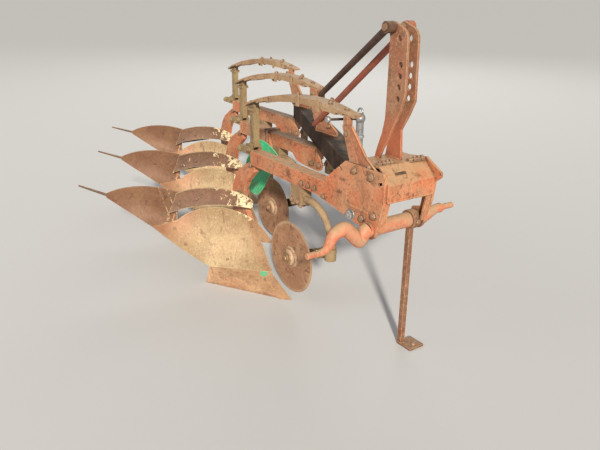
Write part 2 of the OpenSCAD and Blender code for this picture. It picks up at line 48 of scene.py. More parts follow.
LEG_LOW, LEG_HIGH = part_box("leg_1")
# From each unit to the one behind it, to a tenth of a millimetre
PITCH = Vector([round(step, 4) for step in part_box("leg_2")[0] - LEG_LOW])
# The floor under the front unit's share tip, in the middle plane of its leg: all places are counted from it
ORIGIN = Vector((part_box("share_1")[1].x, (LEG_LOW.y + LEG_HIGH.y) / 2, 0.0))
RIGHT = Vector((0, -1, 0))
LEFT = Vector((0, 1, 0))
UP = Vector((0, 0, 1))
FORWARD = Vector((1, 0, 0))
# Edges over this angle stay sharp in the shading, and get a small bevel
SHARP = math.radians(35)


def place(x, y, z, unit=1):
    """A place in millimetres, counted from a unit's share tip, in the frame's metres."""
    return ORIGIN + PITCH * (unit - 1) + Vector((x, y, z)) / 1000


# Shader nodes


def add(tree, kind, inputs=None, **settings):
    """A shader node with its settings and inputs. An input is a value or another node's output."""
    made = tree.nodes.new(kind)
    for key, value in settings.items():
        setattr(made, key, value)
    for key, value in (inputs or {}).items():
        if isinstance(value, bpy.types.NodeSocket):
            tree.links.new(value, made.inputs[key])
        else:
            made.inputs[key].default_value = value
    return made


def noise(tree, where, scale, detail=6.0, rough=0.6, distortion=0.0):
    """Cloudy values around 0.5, finer where the scale is larger."""
    inputs = {"Vector": where, "Scale": scale, "Detail": detail, "Roughness": rough}
    return add(tree, "ShaderNodeTexNoise", {**inputs, "Distortion": distortion}).outputs["Fac"]


def ramp(tree, value, low, high):
    """0 at low and 1 at high, with a soft step between them. Low may be the higher one."""
    inputs = {"Value": value, "From Min": low, "From Max": high}
    return add(tree, "ShaderNodeMapRange", inputs, interpolation_type="SMOOTHSTEP").outputs["Result"]


def arithmetic(tree, operation, a, b, clamp=True):
    """One step of arithmetic, with its result kept between 0 and 1 unless clamp is off."""
    return add(tree, "ShaderNodeMath", {0: a, 1: b}, operation=operation, use_clamp=clamp).outputs[0]


def times(tree, a, b):
    return arithmetic(tree, "MULTIPLY", a, b)


def plus(tree, a, b):
    return arithmetic(tree, "ADD", a, b)


def minus(tree, a, b):
    return arithmetic(tree, "SUBTRACT", a, b)


def mix(tree, factor, a, b):
    """Colour a where the factor is 0, and colour b where it is 1."""
    return add(tree, "ShaderNodeMix", {0: factor, 6: a, 7: b}, data_type="RGBA").outputs[2]


def wavy(tree, where, scale, detail, height):
    """A small noise that makes the border of a mark uneven."""
    return times(tree, noise(tree, where, scale, detail), height)


def axes(tree, vector):
    """A vector's three numbers, by the name of the axis."""
    return add(tree, "ShaderNodeSeparateXYZ", {0: vector}).outputs


def in_box(tree):
    """Place in the piece's own box, from 0 to 1 along each axis."""
    return axes(tree, add(tree, "ShaderNodeTexCoord").outputs["Generated"])


def srgb(r, g, b):
    """Linear colour of an eight-bit screen colour."""
    def one(v):
        v = v / 255
        return v / 12.92 if v <= 0.04045 else ((v + 0.055) / 1.055) ** 2.4
    return (one(r), one(g), one(b), 1.0)


DUST = srgb(172, 146, 108)
# Dark brown for grime and painted shade in corners, laid on where ambient occlusion is low
GRIME_AND_SHADE = srgb(44, 32, 25)
RUST = srgb(116, 66, 42)
SOIL = srgb(126, 92, 64)
CREAM = srgb(226, 206, 164)
RUBBED_PAINT = srgb(214, 170, 128)
REAR_RUST = srgb(150, 96, 66)
SHIN_RUST = srgb(168, 106, 76)
WORN_RING = srgb(190, 166, 134)
MAST_RED = srgb(186, 96, 62)
MARK_GREEN = srgb(70, 190, 140)


# Marks of single materials: each changes the colour that it gets


def board_stains(tree, where, colour):
    """Brown rust at the mouldboard's rear edge, a rusty rim along its shin, and cream paint at its top."""
    box = in_box(tree)
    uneven = wavy(tree, where, 22.0, 5.0, 0.16)
    rear = ramp(tree, plus(tree, box["X"], uneven), 0.40, 0.08)
    colour = mix(tree, times(tree, rear, 0.8), colour, REAR_RUST)
    shin = ramp(tree, plus(tree, box["Y"], uneven), 0.93, 1.04)
    colour = mix(tree, times(tree, shin, 0.45), colour, SHIN_RUST)
    top = times(tree, ramp(tree, box["Y"], 0.72, 0.95), ramp(tree, box["Z"], 0.62, 0.86))
    flakes = plus(tree, noise(tree, where, 26.0, 8.0, 0.7), times(tree, top, 0.22))
    return mix(tree, ramp(tree, flakes, 0.67, 0.70), colour, CREAM)


def wing_scratches(tree, where, colour):
    """Two pale streaks across the front unit's wing beside its joint."""
    # Only the front wing lies ahead of the middle of the plough, where X is 0
    front_wing = ramp(tree, axes(tree, where)["X"], -0.1, 0.0)
    across = plus(tree, in_box(tree)["X"], wavy(tree, where, 45.0, 4.0, 0.03))
    broken = times(tree, ramp(tree, noise(tree, where, 60.0, 5.0), 0.42, 0.60), front_wing)
    half_width = 0.008
    for middle in (0.80, 0.90):
        near = add(tree, "ShaderNodeMath", {0: across, 1: middle, 2: half_width}, operation="COMPARE")
        streak = times(tree, times(tree, near.outputs[0], broken), 0.35)
        colour = mix(tree, streak, colour, CREAM)
    return colour


def cream_flakes(tree, where, colour):
    """Old cream paint left on the trashboard's front end and here and there behind it."""
    patch = noise(tree, where, 30.0, 8.0, 0.7, 0.4)
    front = ramp(tree, in_box(tree)["X"], 0.55, 0.95)
    flakes = ramp(tree, plus(tree, patch, times(tree, front, 0.20)), 0.64, 0.67)
    return mix(tree, times(tree, flakes, 0.9), colour, CREAM)


def hub_rings(tree, where, colour):
    """Pale worn rings round a coulter disc's hub, and a rubbed rim, in shares of the disc's width."""
    box = in_box(tree)
    x, z = (arithmetic(tree, "SUBTRACT", box[axis], 0.5, clamp=False) for axis in "XZ")
    flat = add(tree, "ShaderNodeCombineXYZ", {"X": x, "Y": z}).outputs[0]
    radius = add(tree, "ShaderNodeVectorMath", {0: flat}, operation="LENGTH").outputs["Value"]
    reach = plus(tree, radius, wavy(tree, where, 40.0, 5.0, 0.03))
    soft = 0.006
    for inner, outer, weight in ((0.105, 0.125, 0.75), (0.150, 0.166, 0.6), (0.480, 0.505, 0.35)):
        band = times(tree, ramp(tree, reach, inner - soft, inner), ramp(tree, reach, outer + soft, outer))
        colour = mix(tree, times(tree, band, weight), colour, WORN_RING)
    return colour


def redder_low_down(tree, where, colour):
    """Brighter, redder colour low down on the mast."""
    uneven = wavy(tree, where, 9.0, 5.0, 0.2)
    height = arithmetic(tree, "ADD", axes(tree, where)["Z"], uneven, clamp=False)
    return mix(tree, times(tree, ramp(tree, height, 1.30, 1.12), 0.6), colour, MAST_RED)


def green_mark(tree, where, colour):
    """Green paint mark on the front share."""
    middle = place(-234, -40, 80)
    reach = add(tree, "ShaderNodeVectorMath", {0: where, 1: middle}, operation="DISTANCE").outputs["Value"]
    reach = plus(tree, reach, wavy(tree, where, 60.0, 3.0, 0.02))
    return mix(tree, ramp(tree, reach, 0.034, 0.030), colour, MARK_GREEN)


def weathered(name, base, pale, worn=RUST, edge=None, wear=0.5, dust=0.35, metal=0.0, rough=0.62,
              relief=0.35, streak=0.0, mottle=0.3, marks=None):
    """Aged surface: patches, blotches worn through, marks, rubbed edges, dust, and grime with painted shade
    in corners.
    """
    material = bpy.data.materials.new(name)
    material.use_nodes = True
    tree = material.node_tree
    tree.nodes.clear()
    edge = edge or pale
    where = add(tree, "ShaderNodeTexCoord").outputs["Object"]
    squeeze = (1.0, 1.0, 1.0 - 0.84 * streak)
    drawn_out = add(tree, "ShaderNodeMapping", {"Vector": where, "Scale": squeeze}).outputs["Vector"]
    patch = noise(tree, drawn_out, 19.0, 9.0, 0.68, 0.7)
    speck = noise(tree, where, 150.0, 5.0, 0.7)
    # Patches and specks of the paler colour, and soil
    colour = mix(tree, ramp(tree, noise(tree, where, 6.0, 5.0), 0.36, 0.66), base, pale)
    colour = mix(tree, times(tree, ramp(tree, speck, 0.40, 0.68), 0.4), colour, pale)
    soil = ramp(tree, noise(tree, where, 11.0, 7.0, 0.65), 0.42, 0.70)
    colour = mix(tree, times(tree, soil, 0.55), colour, SOIL)
    # Blotches and flecks worn through, and pale spots
    blotch = ramp(tree, patch, 0.70 - 0.22 * wear, 0.76 - 0.18 * wear)
    blotch = times(tree, blotch, ramp(tree, speck, 0.30, 0.52))
    colour = mix(tree, blotch, colour, worn)
    fleck = ramp(tree, noise(tree, drawn_out, 64.0, 9.0, 0.75), 0.53, 0.62)
    colour = mix(tree, times(tree, fleck, 0.35 + 0.45 * wear), colour, worn)
    spots = ramp(tree, noise(tree, where, 78.0, 6.0, 0.7), 0.50, 0.64)
    colour = mix(tree, times(tree, spots, mottle), colour, edge)
    if marks:
        colour = marks(tree, where, colour)
    # Edges rubbed pale: there the normal of a rounded edge leaves the face's own
    normal = add(tree, "ShaderNodeNewGeometry").outputs["Normal"]
    rounded = add(tree, "ShaderNodeBevel", {"Radius": 0.005}, samples=4).outputs["Normal"]
    product = add(tree, "ShaderNodeVectorMath", {0: rounded, 1: normal}, operation="DOT_PRODUCT")
    rubbed = times(tree, ramp(tree, product.outputs["Value"], 0.99, 0.84), ramp(tree, patch, 0.36, 0.52))
    colour = mix(tree, times(tree, rubbed, 0.7), colour, edge)
    # Dust on what faces up; grime and painted shade in corners, darker where ambient occlusion is low
    settled = ramp(tree, noise(tree, where, 30.0, 8.0, 0.7), 0.36, 0.54)
    dusty = times(tree, ramp(tree, axes(tree, normal)["Z"], 0.35, 0.95), settled)
    colour = mix(tree, times(tree, dusty, dust), colour, DUST)
    open_air = add(tree, "ShaderNodeAmbientOcclusion", {"Distance": 0.05}, samples=4).outputs["AO"]
    colour = mix(tree, times(tree, ramp(tree, open_air, 0.80, 0.30), 0.7), colour, GRIME_AND_SHADE)
    # Roughness and relief
    spread = {"Value": speck, "To Min": rough - 0.12, "To Max": rough + 0.2}
    roughness = add(tree, "ShaderNodeMapRange", spread).outputs["Result"]
    grain = times(tree, noise(tree, where, 420.0, 3.0, 0.6), 0.3)
    height = plus(tree, times(tree, speck, 0.5), grain)
    for pit in (blotch, fleck):
        height = minus(tree, height, times(tree, pit, 0.2))
    bump = add(tree, "ShaderNodeBump", {"Height": height, "Strength": relief, "Distance": 0.002})
    inputs = {"Base Color": colour, "Roughness": roughness, "Metallic": metal,
              "Normal": bump.outputs["Normal"]}
    shader = add(tree, "ShaderNodeBsdfPrincipled", inputs)
    add(tree, "ShaderNodeOutputMaterial", {"Surface": shader.outputs[0]})
    return material


MAT = {
    "orange": weathered("paint_orange", srgb(190, 102, 63), srgb(188, 132, 95), worn=srgb(110, 70, 48),
                        edge=RUBBED_PAINT, wear=0.66, dust=0.8),
    "mast": weathered("paint_mast", srgb(146, 86, 60), srgb(154, 116, 88), worn=srgb(116, 86, 64),
                      edge=RUBBED_PAINT, wear=0.7, marks=redder_low_down),
    "tower": weathered("paint_tower", srgb(168, 96, 64), srgb(170, 124, 92), worn=srgb(120, 86, 62),
                       edge=RUBBED_PAINT, wear=0.75, dust=0.7),
    "shaft": weathered("paint_shaft", srgb(196, 86, 58), srgb(196, 144, 108), worn=srgb(172, 132, 100),
                       edge=RUBBED_PAINT, wear=1.0, dust=0.75),
    # Dark paint darkened further as painted shade: the main tube's colour stands for the shade it lies in
    # behind the front unit; the slot's ground and the adjuster rod share it
    "dark": weathered("dark_paint_and_shade", srgb(40, 30, 23), srgb(54, 42, 32), worn=srgb(96, 58, 40), wear=0.4,
                      dust=0.2, rough=0.8),
    "green": weathered("paint_green", srgb(20, 166, 106), srgb(48, 186, 128), worn=srgb(54, 128, 88),
                       edge=srgb(180, 190, 170), wear=0.3, rough=0.5),
    "strut": weathered("strut_dark", srgb(64, 46, 40), srgb(92, 66, 54), worn=srgb(112, 74, 56)),
    "strut_red": weathered("strut_red", srgb(150, 66, 50), srgb(164, 92, 70), worn=srgb(120, 84, 64),
                           wear=0.6),
    "leaf": weathered("spring_leaf", srgb(154, 120, 86), srgb(176, 146, 112), worn=srgb(108, 74, 54),
                      wear=0.6),
    "tie": weathered("tie_steel", srgb(130, 110, 74), srgb(154, 132, 94), worn=srgb(100, 72, 50),
                     streak=0.8),
    "zinc": weathered("galvanised", srgb(150, 154, 156), srgb(190, 194, 194), worn=srgb(116, 112, 106),
                      wear=0.3, metal=0.6, rough=0.42, dust=0.1),
    "board": weathered("mouldboard_steel", srgb(145, 117, 80), srgb(155, 132, 95), worn=srgb(110, 82, 54),
                       edge=CREAM, wear=0.6, metal=0.25, rough=0.52, relief=0.2, streak=0.9, mottle=0.16,
                       marks=board_stains),
    "wing": weathered("wing_steel", srgb(110, 73, 50), srgb(126, 89, 62), worn=srgb(92, 60, 44),
                      edge=srgb(206, 160, 116), wear=0.6, metal=0.15, rough=0.58, relief=0.25, mottle=0.10,
                      marks=wing_scratches),
    "strip": weathered("trashboard_steel", srgb(96, 66, 48), srgb(122, 88, 66), worn=srgb(80, 54, 42),
                       edge=CREAM, mottle=0.06, marks=cream_flakes),
    "share": weathered("share_steel", srgb(176, 128, 92), srgb(192, 154, 116), worn=srgb(132, 84, 62),
                       edge=srgb(220, 190, 160), wear=0.6, metal=0.2, rough=0.52, marks=green_mark),
    "rod": weathered("rod_steel", srgb(86, 66, 48), srgb(112, 88, 64)),
    "disc": weathered("disc_steel", srgb(150, 106, 78), srgb(172, 132, 100), worn=srgb(100, 68, 52),
                      wear=0.7, metal=0.15, marks=hub_rings),
    # Darkened in part as painted shade, for the headstock's shadow on the stalk
    "stalk": weathered("stalk_steel", srgb(134, 108, 78), srgb(158, 134, 100), worn=srgb(110, 76, 56),
                       wear=0.6),
    # Darkened in part as painted shade, for the shade on the stand leg's right face
    "stand": weathered("stand_steel", srgb(112, 73, 54), srgb(134, 95, 71), edge=RUBBED_PAINT, wear=0.6),
    "flush": weathered("flush_bolts", srgb(138, 102, 70), srgb(154, 118, 84), edge=srgb(112, 78, 54)),
    "bolt": weathered("bolt_steel", srgb(146, 108, 82), srgb(176, 142, 114), worn=srgb(100, 64, 48),
                      wear=0.6, metal=0.35, rough=0.5),
}
# Look of each CAD node, by the start of its name
LOOK = {
    "main_tube": "dark", "cross_beam": "orange", "side_plate": "orange", "mast_right": "mast",
    "mast_left": "mast", "mast_pin": "bolt", "strut_long": "strut", "strut_short": "strut_red",
    "adjuster": "zinc", "cross_shaft": "shaft", "stand_leg": "stand", "skimmer_shank": "orange",
    "skimmer": "green", "beam": "orange", "tower": "tower", "spring": "leaf", "tie": "tie", "leg": "orange",
    "mouldboard": "board", "wing": "wing", "tail": "rod", "share": "share", "trashboard": "strip",
    "landside": "share", "stalk": "stalk", "coulter_arm": "tie", "disc": "disc",
}


# Shading and soft edges


def smooth_group():
    """Node group that shades all faces smooth and keeps sharp edges."""
    group = bpy.data.node_groups.new("smooth_shading", "GeometryNodeTree")
    for side in ("INPUT", "OUTPUT"):
        group.interface.new_socket("Geometry", in_out=side, socket_type="NodeSocketGeometry")
    source = group.nodes.new("NodeGroupInput")
    faces = group.nodes.new("GeometryNodeSetShadeSmooth")
    faces.domain = "FACE"
    edges = group.nodes.new("GeometryNodeSetShadeSmooth")
    edges.domain = "EDGE"
    edges.inputs["Shade Smooth"].default_value = False
    angle = group.nodes.new("GeometryNodeInputMeshEdgeAngle")
    over = group.nodes.new("FunctionNodeCompare")
    over.operation = "GREATER_THAN"
    over.inputs[1].default_value = SHARP
    out = group.nodes.new("NodeGroupOutput")
    group.links.new(source.outputs[0], faces.inputs["Geometry"])
    group.links.new(angle.outputs["Unsigned Angle"], over.inputs[0])
    group.links.new(faces.outputs[0], edges.inputs["Geometry"])
    group.links.new(over.outputs[0], edges.inputs["Selection"])
    group.links.new(edges.outputs[0], out.inputs[0])
    return group


SMOOTH = smooth_group()


def soften(made, width):
    """Small bevels that catch the light, and smooth shading over curved faces."""
    bevel = made.modifiers.new("soft_edges", "BEVEL")
    bevel.width = width
    bevel.segments = 2
    bevel.limit_method = "ANGLE"
    bevel.angle_limit = SHARP
    shading = made.modifiers.new("smooth_shading", "NODES")
    shading.node_group = SMOOTH
    weighted = made.modifiers.new("weighted", "WEIGHTED_NORMAL")
    weighted.keep_sharp = True


def dress(node, made):
    """Material of a CAD node, and softened edges."""
    look = next(value for key, value in LOOK.items() if node.startswith(key))
    for material_slot in made.material_slots:
        material_slot.link = "OBJECT"
        material_slot.material = MAT[look]
    joined = made.modifiers.new("weld", "WELD")
    joined.merge_threshold = 0.00002
    soften(made, width=0.0012)


# Mesh building: a part is a list of points and a list of faces


def ring_faces(rows, sides):
    """Faces between rows of points that each go round a line, and a cap at both ends."""
    faces = []
    for row in range(rows - 1):
        for k in range(sides):
            a = row * sides + k
            b = row * sides + (k + 1) % sides
            faces.append((a, b, b + sides, a + sides))
    return faces + [tuple(range(sides))[::-1], tuple(range((rows - 1) * sides, rows * sides))]


def turned(profile, sides=24):
    """A profile of (radius, height) pairs, turned round Z and closed at both ends."""
    turns = [2 * math.pi * k / sides for k in range(sides)]
    verts = [Vector((r * math.cos(turn), r * math.sin(turn), h)) for r, h in profile for turn in turns]
    return verts, ring_faces(len(profile), sides)


def swept(path, radii, sides=14):
    """A round bar along a path, with its own radius at each point."""
    verts = []
    side = None
    for k, point in enumerate(path):
        along = (path[min(k + 1, len(path) - 1)] - path[max(k - 1, 0)]).normalized()
        if side is None:
            side = along.cross(UP if abs(along.z) < 0.9 else FORWARD).normalized()
        side = (side - along * side.dot(along)).normalized()
        other = along.cross(side)
        for n in range(sides):
            angle = 2 * math.pi * n / sides
            verts.append(point + radii[k] * (math.cos(angle) * side + math.sin(angle) * other))
    return verts, ring_faces(len(path), sides)


def wire(path, radius, sides):
    """A round bar of one radius along a path."""
    return swept(path, [radius] * len(path), sides)


def stepped(corners, steps):
    """Places along a line with corners, in that many steps from each corner to the next."""
    inner = [a.lerp(b, k / steps) for a, b in zip(corners, corners[1:]) for k in range(steps)]
    return inner + [corners[-1]]


def loop(corners):
    """Pairs of corners that follow each other, the last and the first one too."""
    return [(corners[k - 1], corners[k]) for k in range(len(corners))]


def eased(knots, step=6.0, rounds=12):
    """Rows of (x, y, z, radius) along a line of such knots in millimetres, with its bends rounded off."""
    knots = [Vector(knot) for knot in knots]
    rows = []
    for a, b in zip(knots, knots[1:]):
        count = max(1, round((b - a).length / step))
        rows += [a.lerp(b, k / count) for k in range(count)]
    rows.append(knots[-1])
    for _ in range(rounds):
        inner = [(a + 2 * b + c) / 4 for a, b, c in zip(rows, rows[1:], rows[2:])]
        rows = [rows[0]] + inner + [rows[-1]]
    return rows


def rectangle(left, low, right, high):
    return [(left, low), (right, low), (right, high), (left, high)]


def slab(outline, thick, base, across, along, out):
    """A plate: its outline in millimetres along two axes from a base place, and its thickness outwards."""
    n = len(outline)
    low = [base + (across * u + along * v) / 1000 for u, v in outline]
    high = [point + out * thick / 1000 for point in low]
    faces = [tuple(range(n))[::-1], tuple(range(n, 2 * n))]
    faces += [(k, (k + 1) % n, n + (k + 1) % n, n + k) for k in range(n)]
    return low + high, faces


def collar(inner, outer, height, sides):
    """A flat ring round Z, with its bore closed."""
    return turned([(inner, 0.0), (outer, 0.0), (outer, height), (inner, height)], sides)


def cotter(radius, half_long, sides):
    """A short pin along Z with chamfered ends."""
    slim = radius - 0.0005
    straight = half_long - 0.002
    return turned([(slim, -half_long), (radius, -straight), (radius, straight), (slim, half_long)], sides)


def moved(part, spot, axis):
    """A part that stands along Z, moved to a place and turned towards an axis."""
    turn = UP.rotation_difference(Vector(axis).normalized()).to_matrix()
    return [spot + turn @ v for v in part[0]], part[1]


def piece(name, parts, look, body="frame", soft=0.0006):
    """One visible piece made of several parts, with soft edges of that width in metres."""
    verts = []
    faces = []
    for part_verts, part_faces in parts:
        base = len(verts)
        verts += [tuple(v) for v in part_verts]
        faces += [tuple(base + i for i in face) for face in part_faces]
    mesh = bpy.data.meshes.new(name)
    mesh.from_pydata(verts, [], faces)
    mesh.validate()
    mesh.update()
    made = bpy.data.objects.new(name, mesh)
    bpy.context.scene.collection.objects.link(made)
    made.data.materials.append(MAT[look])
    soften(made, soft)
    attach(made, body)
    return made


# Fasteners and welds, with radii in metres


def in_radii(profile, radius, sides):
    """A profile written in shares of a radius, turned round Z."""
    return turned([(r * radius, h * radius) for r, h in profile], sides)


def bolt(radius, turn, length):
    """A washer, a hexagon nut and the bolt's threaded end, standing along Z."""
    washer = in_radii([(1.95, 0.0), (2.05, 0.1), (1.95, 0.3)], radius, 20)
    verts, faces = in_radii([(1.60, 0.3), (1.75, 0.42), (1.75, 1.2), (1.45, 1.42)], radius, 6)
    nut = [Matrix.Rotation(turn, 3, "Z") @ v for v in verts], faces
    top = 1.42 + length
    end = in_radii([(0.9, 1.3), (0.9, top - 0.1), (0.7, top)], radius, 12)
    return [washer, nut, end]


def round_head(radius):
    return [in_radii([(1.5, 0.0), (1.55, 0.2), (1.35, 0.6), (0.9, 0.9), (0.35, 1.02)], radius, 20)]


def flush_head(radius):
    """A countersunk plough bolt: a shallow disc with a groove round it."""
    return [in_radii([(1.0, 0.0), (1.0, 0.06), (0.88, 0.02), (0.80, 0.09), (0.5, 0.12)], radius, 20)]


def fasteners(name, spots, look="bolt", body="frame", kind=bolt):
    """One piece of several bolts: each spot is (place, outward axis, radius)."""
    rng = random.Random(name)
    parts = []
    for spot, axis, radius in spots:
        if kind is bolt:
            made = bolt(radius, rng.uniform(0, math.pi / 3), rng.uniform(0.3, 0.8))
        else:
            made = kind(radius)
        parts += [moved(part, spot, axis) for part in made]
    return piece(name, parts, look, body)


def weld(start, end, radius, seed):
    """A weld bead between two places: a bar with a ripple along it."""
    rng = random.Random(seed)
    ripple = 0.005
    steps = max(6, int((end - start).length / ripple))
    radii = [radius * (0.85 + 0.22 * (k % 2) + rng.uniform(-0.1, 0.1)) for k in range(steps + 1)]
    radii[0] = radii[-1] = radius * 0.3
    return swept(stepped([start, end], steps), radii, 8)


def welds(name, seams, radius, look="orange", first_seed=0):
    """One piece of several weld beads, each along a seam from one place to another."""
    piece(name, [weld(a, b, radius, first_seed + k) for k, (a, b) in enumerate(seams)], look)


TREES = {}
# How far before the place looked at a ray starts, in metres
STAND_OFF = 0.25


def hit(node, x, y, z, towards, unit=1):
    """Where a ray towards a place meets a CAD node, and the node's outward direction there."""
    if node not in TREES:
        mesh = CAD[node].data
        corners = [CAD[node].matrix_world @ v.co for v in mesh.vertices]
        TREES[node] = BVHTree.FromPolygons(corners, [p.vertices for p in mesh.polygons])
    ray = Vector(towards).normalized()
    spot, normal, _, _ = TREES[node].ray_cast(place(x, y, z, unit) - ray * STAND_OFF, ray)
    return spot, -normal if normal.dot(ray) > 0 else normal


def on_node(node, spots, towards, radius, unit=1, follow=False):
    """Fastener spots on a node: they stand against the ray, or along the surface's own direction."""
    found = []
    for x, y, z in spots:
        spot, normal = hit(node, x, y, z, towards, unit)
        found.append((spot, normal if follow else -Vector(towards), radius))
    return found


def on_both_sides(node, spots, radius, unit):
    return on_node(node, spots, LEFT, radius, unit) + on_node(node, spots, RIGHT, radius, unit)


# Headstock


def headstock_details():
    """Bolts of the side plates and the front beam, and rivets along the cross beam's ridge."""
    near = "side_plate_right"
    near_bolts = [(559, 0, 895), (673, 0, 891), (622, 0, 691), (698, 0, 725)]
    fasteners("side_plate_bolts", on_node(near, near_bolts, LEFT, 0.0095))
    fasteners("side_plate_stud", on_node(near, [(336, 0, 714)], LEFT, 0.008))
    fasteners("side_plate_bolt_new", on_node(near, [(541, 0, 686)], LEFT, 0.0125), "zinc")
    far_nuts = [(590, 0, 905), (700, 0, 905), (590, 0, 830)]
    fasteners("side_plate_nuts_left", on_node("side_plate_left", far_nuts, RIGHT, 0.0095))
    ridge = [(668, -8), (669, 12), (671, 32), (672, 52), (686, 152), (688, 174), (690, 196), (690, 216)]
    rivets = [(x, y, 938) for x, y in ridge]
    fasteners("ridge_rivets", on_node("cross_beam", rivets, -UP, 0.0088))
    beam_bolts = [(134, 0, 724), (192, 0, 727), (247, 0, 729)]
    fasteners("beam_bolts_1", on_node("beam_1", beam_bolts, LEFT, 0.0085))


def nose_details(unit):
    """Bolts through a rear beam's nose, and the clamp plate on its side."""
    cheek = on_node(f"beam_{unit}", [(504, 0, 689), (572, 0, 690)], LEFT, 0.010, unit)
    fasteners(f"cheek_bolts_{unit}", cheek)
    clamp = [(20, -36), (95, -36), (95, 36), (80, 46), (80, 85.8), (35, 85.8), (35, 46), (20, 36)]
    plate = slab(clamp, 11, place(600, -36, 694, unit), FORWARD, UP, RIGHT)
    piece(f"nose_clamp_{unit}", [plate], "stalk", soft=0.003)
    clamp_bolts = [(place(x, -47, z, unit), RIGHT, 0.0075) for x, z in ((634, 712), (682, 676))]
    fasteners(f"nose_clamp_bolts_{unit}", clamp_bolts)


def pocket():
    """Slot pressed into the cross beam's sloping front: a raised lip round a thin dark sheet, which is
    painted shade for the slot's depth.
    """
    middle, out = hit("cross_beam", 720, 60, 905, -FORWARD)
    down = LEFT.cross(out)
    half_long, half_wide = 34, 9
    lip_radius = 0.0015
    ground = rectangle(-half_long, -half_wide, half_long, half_wide)
    # The dark sheet is painted shade, standing for the depth of the slot
    piece("pocket_painted_shade", [slab(ground, 0.6, middle, LEFT, down, out)], "dark", soft=0.0001)
    corners = [middle + (LEFT * u + down * v) / 1000 + out * 0.001 for u, v in ground]
    lips = [wire(stepped(side, 6), lip_radius, 8) for side in loop(corners)]
    piece("pocket_lip", lips, "orange", soft=0.0001)


def mast_details():
    """Washers and cotters on the strut pin, and weld beads along the mast's feet."""
    for name, side in (("right", RIGHT), ("left", LEFT)):
        end, _ = hit("mast_pin", 619, 102, 1490, -side)
        washer = moved(collar(0.0155, 0.0235, 0.0035, 28), end - side * 0.012, side)
        pin = moved(cotter(0.003, 0.018, 10), end - side * 0.006, (0.3, 0, 1))
        piece(f"mast_pin_nut_{name}", [washer, pin], "bolt")
    feet = (("right", 550, 578, (66.5, 79.5)), ("left", 555, 650, (136.5, 124.5)))
    for name, rear, front, planes in feet:
        seams = [(place(rear, y, 939), place(front, y, 939)) for y in planes]
        welds(f"mast_weld_{name}", seams, 0.005, "mast", first_seed=3)


def head_welds():
    """Weld beads where the cross beam meets the side plates, and along its lower edges."""
    seams = [(place(505, -35, 938), place(505, -35, 881)), (place(742, -35, 800), place(742, -35, 868)),
             (place(760, -35, 797), place(760, 232, 797)), (place(560, 235, 798), place(698, 235, 798))]
    welds("head_welds", seams, 0.0045)


# Each unit: its tower, spring, tie, beam, body and coulter


def tower_details(unit):
    """Weld beads at the tower's foot, a bead along its front edge, and its bolts."""
    foot = [(place(514, -35.5, 881, unit), place(700, -35.5, 881, unit)),
            (place(514, -26, 881, unit), place(590, -26, 881, unit))]
    welds(f"tower_weld_{unit}", foot, 0.0045, first_seed=unit)
    front = [(508, 1074), (560, 1017), (610, 961), (657, 932), (703, 903)]
    path = stepped([place(x, -35, z, unit) for x, z in front], 5)
    piece(f"tower_bead_{unit}", [wire(path, 0.0045, 10)], "orange")
    bolts = on_node(f"tower_{unit}", [(478, 0, 1040), (640, 0, 925)], LEFT, 0.007, unit)
    fasteners(f"tower_bolts_{unit}", bolts)


def spring_details(unit):
    """Bolts through the leaves, two rebound clips round them, and studs under their middle."""
    node = f"spring_{unit}"
    along = [(286, 16), (323, -14), (425, 0), (40, 0), (-420, 0)]
    bolts = on_node(node, [(x, y, 1150) for x, y in along], -UP, 0.0065, unit, follow=True)
    fasteners(f"spring_bolts_{unit}", bolts)
    clips = []
    half, above, chamfer = 14, 12, 6
    for x in (96, 262):
        # Places on the uppermost and the lowest leaf, near their right and left edges
        upper = [hit(node, x, y, 1160, -UP, unit)[0] for y in (-39, 39)]
        lower = [hit(node, x, y, 1060, UP, unit)[0] for y in (-39, 39)]
        for high, low, side in zip(upper, lower, (RIGHT, LEFT)):
            top = (high.z - low.z) * 1000 + above
            strap = [(-half, -half), (half, -half), (half, top - chamfer), (9, top), (-9, top),
                     (-half, top - chamfer)]
            base = Vector((low.x, place(0, 0, 0, unit).y, low.z)) + side * 0.0402
            clips.append(slab(strap, 4, base, FORWARD, UP, side))
        under = lower[0] + RIGHT * 0.0050 - UP * 0.0036
        clips.append(slab(rectangle(-half, 0, half, 3.5), 88, under, FORWARD, UP, LEFT))
    piece(f"rebound_clips_{unit}", clips, "leaf", soft=0.001)
    studs = on_node(node, [(40, -20, 1090), (40, 22, 1090)], UP, 0.0075, unit)
    fasteners(f"spring_studs_{unit}", studs)


def tie_details(unit):
    """Pins through the fork and the leg's head, and ears at the sides of the bar's upper end."""
    pins = on_both_sides(f"tie_{unit}", [(-390, 0, 785), (-500, 0, 770)], 0.010, unit)
    fasteners(f"tie_pins_{unit}", pins, "tie")
    end = place(-386, 0, 1000, unit)
    outline = rectangle(-34, 0, 34, 17)
    ears = [slab(outline, 7, end + side * 0.0172, FORWARD, UP, side) for side in (RIGHT, LEFT)]
    piece(f"tie_ears_{unit}", ears, "tie", soft=0.002)


def beam_details(unit):
    """Pivot bolt of the leg, weld beads round the cap at the beam's end, and beads under the tube."""
    fasteners(f"leg_bolts_{unit}", on_both_sides(f"leg_{unit}", [(-402, 0, 692)], 0.010, unit))
    cap = [place(-370, y, z, unit) for y, z in rectangle(-34, 701, 34, 779)]
    welds(f"beam_cap_weld_{unit}", loop(cap), 0.0035)
    seams = [(place(x, y, 781, unit), place(x + 40, y, 781, unit)) for x, y in ((555, -36), (600, 36))]
    welds(f"tube_seat_weld_{unit}", seams, 0.005)


